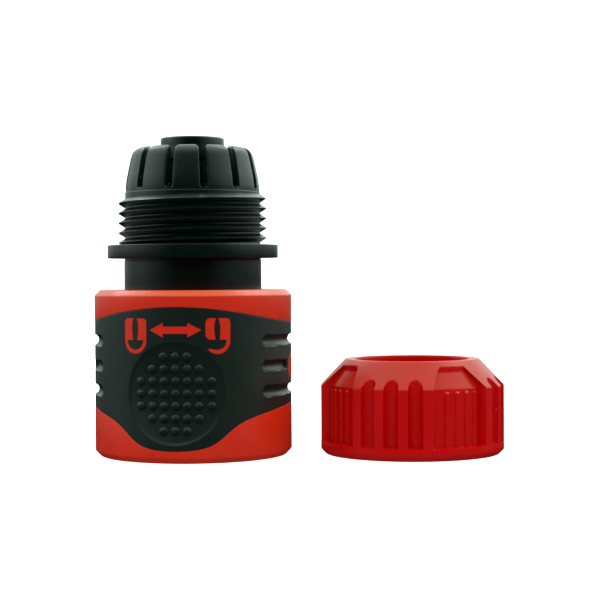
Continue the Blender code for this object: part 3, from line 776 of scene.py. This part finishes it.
def clamp_nut(surface):
    levels = [0.0, 0.025, 0.05, 0.45, 0.85, 0.93, 1.0, 1.7, 2.35, *between(2.4, 2.65, 6), *between(3.2, 12.6, 6)]
    levels += [*between(12.95, 13.55, 6), 13.7, *between(13.84, 18.34, 40), 18.6, 18.85]
    levels += [NUT_TOP - lower for lower in (0.16, 0.1, 0.05, 0.0)]
    rows = [[polar(nut_radius(d, z), d, z) for d in nut_angles(z)] for z in levels]
    inside = [
        (11.62, NUT_TOP, 0.12),
        (11.5, NUT_TOP - 0.4, 0.15),
        (11.5, 17.4, 0.3),
        (14.1, 13.0, 0.2),
        (14.1, 11.7, 0.1),
        (15.3, 11.2, 0.1),
        (15.3, 1.2, 0.1),
        (15.55, 0.6, 0.1),
        (16.1, 0.0, 0.25),
    ]
    rows += [[polar(radius, d, z) for d in nut_angles(0.0)] for radius, z in rounded(inside, 2)]
    shape = Shape().add_rows(rows, along=True)
    add_thread(shape, 2.2, 0.0, 1512.0, 15.3, 13.95, 60.0, 60.0)
    return place("clamp_nut_moulding", shape, "nut", surface, ["clamp_nut"], NUT_X, NUT_TURN, 40.0)


# Pieces inside


def rib_notches():
    cutters = []
    for k in range(4):
        cutter = Shape()
        stations = []
        for t in between(-1.0, 1.0, 8):
            corners = ((10.0, 6.0), (12.35, 6.0), (12.35, 27.0), (10.0, 27.0))
            stations.append([(r, 45 + 90 * k + 7 * t, z) for r, z in corners])
        cutters.append(("DIFFERENCE", cutter.add_sweep(stations)))
    return cutters


def inner_rings(surface):
    ring = [
        (14.85, 0.4, 0.2),
        (16.2, 0.4, 0.25),
        (16.2, 5.9, 0.1),
        (16.9, 6.2, 0.15),
        (16.9, 6.7, 0.15),
        (16.2, 7.0, 0.1),
        (16.2, 12.2, 0.25),
        (11.4, 12.2, 0.2),
        (11.4, 10.2),
        (11.84, 9.3),
        (13.13, 2.85, 0.15),
        (14.85, 2.85),
    ]
    shape = Shape().add_turned(rounded(ring), 120)
    place("release_ring_moulding", shape, "release", surface, ["release_ring"], cuts=rib_notches())
    ring = [
        (11.65, 25.2, 0.15),
        (14.9, 25.2, 0.2),
        (14.9, 29.0, 0.2),
        (13.3, 29.0, 0.15),
        (13.3, 25.9),
        (11.65, 25.9, 0.15),
    ]
    shape = Shape().add_turned(rounded(ring), 120)
    place("lock_ring_moulding", shape, "connector_core", surface, ["lock_ring"], cuts=rib_notches())
    lugs = Shape()
    for k in range(4):
        add_sector(lugs, 14.7, 16.2, 26.9, 28.7, SLEEVE_TURN + 90 * k, 7.0)
    place("lock_ring_lugs", lugs, "connector_core", surface)


def return_spring(surface):
    """Five coils of round wire, closed up at both ends."""
    bottom, top = (value.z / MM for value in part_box("return_spring"))
    wire, turns, steps = 0.55, 5.0, 40
    stations = []
    for k in range(round(turns * steps) + 1):
        share = k / (turns * steps)
        settled = (share - math.sin(2 * math.pi * share) / (2 * math.pi)) * 0.55 + share * 0.45
        z = bottom + wire + (top - bottom - 2 * wire) * settled
        angles = [math.radians(30 * a) for a in range(12)]
        stations.append([(12.9 + wire * math.cos(a), 360 * turns * share, z + wire * math.sin(a)) for a in angles])
    shape = Shape().add_sweep(stations)
    coil = place("return_spring_coil", shape, "release", surface, ["return_spring"], sharp=60.0)
    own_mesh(coil)


def socket_seal(surface):
    outline = []
    for k in range(24):
        angle = math.radians(15 * k)
        outline.append((8.55 + math.cos(angle), 17.3 + math.sin(angle)))
    shape = Shape().add_turned(outline, 96)
    place("socket_seal_ring", shape, "connector_core", surface, ["socket_seal"], sharp=60.0)


def locking_claws(surface):
    """The CAD claws are kept, with softened edges."""
    for k in range(1, 5):
        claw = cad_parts[f"locking_claw_{k}"]
        for slot in claw.material_slots:
            slot.link = "OBJECT"
            slot.material = surface
        edges = claw.modifiers.new("soft_edges", "BEVEL")
        edges.width = 0.18 * MM
        edges.segments = 3
        edges.limit_method = "ANGLE"
        edges.angle_limit = math.radians(30)


# The studio


def camera():
    """At the photograph's viewing angle: near eye level with the sleeve's top, looking slightly down."""
    lens = bpy.data.cameras.new("camera")
    lens.lens = 94.55
    lens.sensor_width = 36.0
    made = bpy.data.objects.new("camera", lens)
    bpy.context.scene.collection.objects.link(made)
    made.location = ((CONNECTOR_X + 21.2) * MM, -0.3218, 0.0361)
    made.rotation_euler = (math.radians(90 - 0.869), math.radians(0.3), math.radians(-0.109))
    bpy.context.scene.camera = made


def area_light(name, toward, far, size, brightness, mirrored=True):
    """A soft box seen from the object in a direction. Its brightness is relative to the white backdrop."""
    light = bpy.data.lights.new(name, "AREA")
    light.shape = "RECTANGLE"
    light.size, light.size_y = size
    light.energy = brightness * math.pi * size[0] * size[1]
    made = bpy.data.objects.new(name, light)
    middle = Vector((0, 0, 0.03))
    away = Vector(toward).normalized()
    made.location = middle + away * far
    made.rotation_euler = (-away).to_track_quat("-Z", "Y").to_euler()
    made.visible_camera = False
    made.visible_glossy = mirrored
    bpy.context.scene.collection.objects.link(made)


def stage_piece(name, shape):
    """A glowing pale surface that only the camera sees. The lights do the lighting."""
    surface = bpy.data.materials.new(name)
    surface.use_nodes = True
    shader = surface.node_tree.nodes["Principled BSDF"]
    shader.inputs["Base Color"].default_value = STAGE_COLOUR
    shader.inputs["Roughness"].default_value = 0.8
    shader.inputs["Emission Color"].default_value = (1, 1, 1, 1)
    shader.inputs["Emission Strength"].default_value = STAGE_GLOW
    mesh = finished_mesh(name, shape, 35.0)
    mesh.materials.append(surface)
    obj = bpy.data.objects.new(name, mesh)
    obj.visible_diffuse = False
    obj.visible_glossy = False
    obj.visible_shadow = False
    bpy.context.scene.collection.objects.link(obj)


def studio():
    """A white sweep behind and below, and a room that is bright behind and at the sides and dark at the camera."""
    world = bpy.data.worlds.new("studio")
    world.use_nodes = True
    tree = Nodes(world.node_tree)
    split = tree.add("ShaderNodeSeparateXYZ")
    tree.join(tree.add("ShaderNodeTexCoord").outputs["Generated"], split.inputs["Vector"])
    across, ahead, up = split.outputs
    sides = tree.ramp(ahead, -0.88, -0.05, 0.001, 0.95)
    sides = tree.math("MULTIPLY", sides, tree.soft_ramp(up, 0.0, 0.42, 0.46, 1.0))
    behind = tree.soft_ramp(ahead, 0.1, 0.8, 1.0, 0.0)
    behind = tree.math("MAXIMUM", behind, tree.soft_ramp(across, -0.25, 0.25, 0.66, 1.15))
    sides = tree.math("MULTIPLY", sides, behind)
    above = tree.soft_ramp(up, 0.5, 1.0, 0.0, 0.22)
    room = tree.math("ADD", sides, above)
    below = tree.soft_ramp(up, -0.07, 0.05, 0.02, 1.0)
    right = tree.soft_ramp(across, 0.0, 0.5, 1.0, 0.15)
    low_right = tree.math("MAXIMUM", right, tree.soft_ramp(up, 0.0, 0.12, 0.0, 1.0))
    room = tree.math("MULTIPLY", room, tree.math("MULTIPLY", below, low_right))
    background = world.node_tree.nodes["Background"]
    background.inputs["Color"].default_value = (1.72, 2.12, 1.96, 1)
    tree.join(room, background.inputs["Strength"])
    bpy.context.scene.world = world

    steps = between(-STAGE_SIZE, STAGE_SIZE, 4)
    floor = Shape().add_rows([[(x, y, 0.0) for x in steps] for y in steps], around=False)
    stage_piece("studio_floor", floor)
    dome = Shape()
    angles = [math.radians(a) for a in between(-4.0, 89.5, 22)]
    rings = [(STAGE_SIZE * math.cos(a), STAGE_SIZE * math.sin(a)) for a in angles]
    dome.add_rows([[polar(r, 7.5 * k, z) for k in range(48)] for r, z in rings])
    stage_piece("studio_backdrop", dome)

    area_light("key", (0.04, -0.77, 0.64), 0.6, (0.5, 0.36), 3.75, mirrored=False)
    area_light("floor_bounce", (0, 0, -1), 0.035, (1.6, 1.6), 0.66, mirrored=False)
    area_light("softbox_left", (-0.5, 0.45, 0.74), 0.62, (0.28, 0.28), 3.9)
    area_light("softbox_right", (0.48, 0.36, 0.8), 0.62, (0.28, 0.28), 3.7)
    scene = bpy.context.scene
    scene.view_settings.view_transform = "Standard"
    scene.view_settings.look = "None"


def main():
    # The sleeve's red and the nut's red are lit and shaded copies of one red plastic: painted light makes the
    # sleeve's lighter and more orange.
    red = material(
        "red_abs_lit_copy",
        (0.53, 0.0165, 0.0036),
        (0.57, 0.0190, 0.0045),
        (0.75, 0.45, 0.4),
        0.02,
        (0.27, 0.35),
        0.000004,
        2600.0,
        specular=0.35,
        subsurface=0.1,
        # Painted sheen: the colour painted on this red's upward slopes.
        painted_sheen_colour=(0.52, 0.052, 0.0090),
    )
    # The nut's copy of the same red is darker and purer: painted shade.
    nut_red_shaded_copy = material(
        "red_nut_shaded_copy",
        (0.45, 0.0005, 0.0009),
        (0.49, 0.0008, 0.0011),
        (0.75, 0.35, 0.32),
        0.02,
        (0.26, 0.34),
        0.000003,
        2200.0,
        specular=0.2,
        subsurface=0.12,
        # Painted sheen: the colour painted on the nut red's upward slopes.
        painted_sheen_colour=(0.37, 0.0130, 0.0028),
    )
    black = material(
        "black_abs",
        (0.0007, 0.0036, 0.0025),
        (0.0011, 0.0044, 0.0032),
        (0.16, 0.18, 0.17),
        0.05,
        (0.26, 0.34),
        0.000005,
        3200.0,
    )
    rubber = material(
        "grip_tpr",
        (0.0038, 0.0084, 0.0065),
        (0.0048, 0.0098, 0.0076),
        (0.10, 0.11, 0.10),
        0.10,
        (0.38, 0.50),
        0.000012,
        4200.0,
        specular=0.45,
    )
    acetal = material(
        "acetal_white",
        (0.60, 0.60, 0.57),
        (0.64, 0.63, 0.6),
        (0.4, 0.38, 0.34),
        0.02,
        (0.4, 0.5),
        0.000004,
        2500.0,
    )
    steel = material(
        "spring_wire",
        (0.55, 0.56, 0.58),
        (0.62, 0.62, 0.63),
        (0.3, 0.28, 0.25),
        0.02,
        (0.2, 0.34),
        0.000003,
        5000.0,
        metallic=1.0,
    )
    seal = material(
        "seal_nbr",
        (0.010, 0.010, 0.011),
        (0.014, 0.014, 0.014),
        (0.12, 0.12, 0.11),
        0.05,
        (0.5, 0.65),
        0.000006,
        3500.0,
    )

    camera()
    studio()
    clamp_body(black)
    core_tube(black)
    sleeve_shell(red)
    sleeve_grip(rubber)
    inlay("lock_sign_closed", closed_padlock(-8.2), red)
    inlay("lock_sign_open", open_padlock(8.38), red)
    inlay("turn_arrow", double_arrow(), red)
    inlay("badge_right", badge(1), red)
    inlay("badge_left", badge(-1), red)
    clamp_nut(nut_red_shaded_copy)
    inner_rings(acetal)
    return_spring(steel)
    socket_seal(seal)
    locking_claws(acetal)


main()
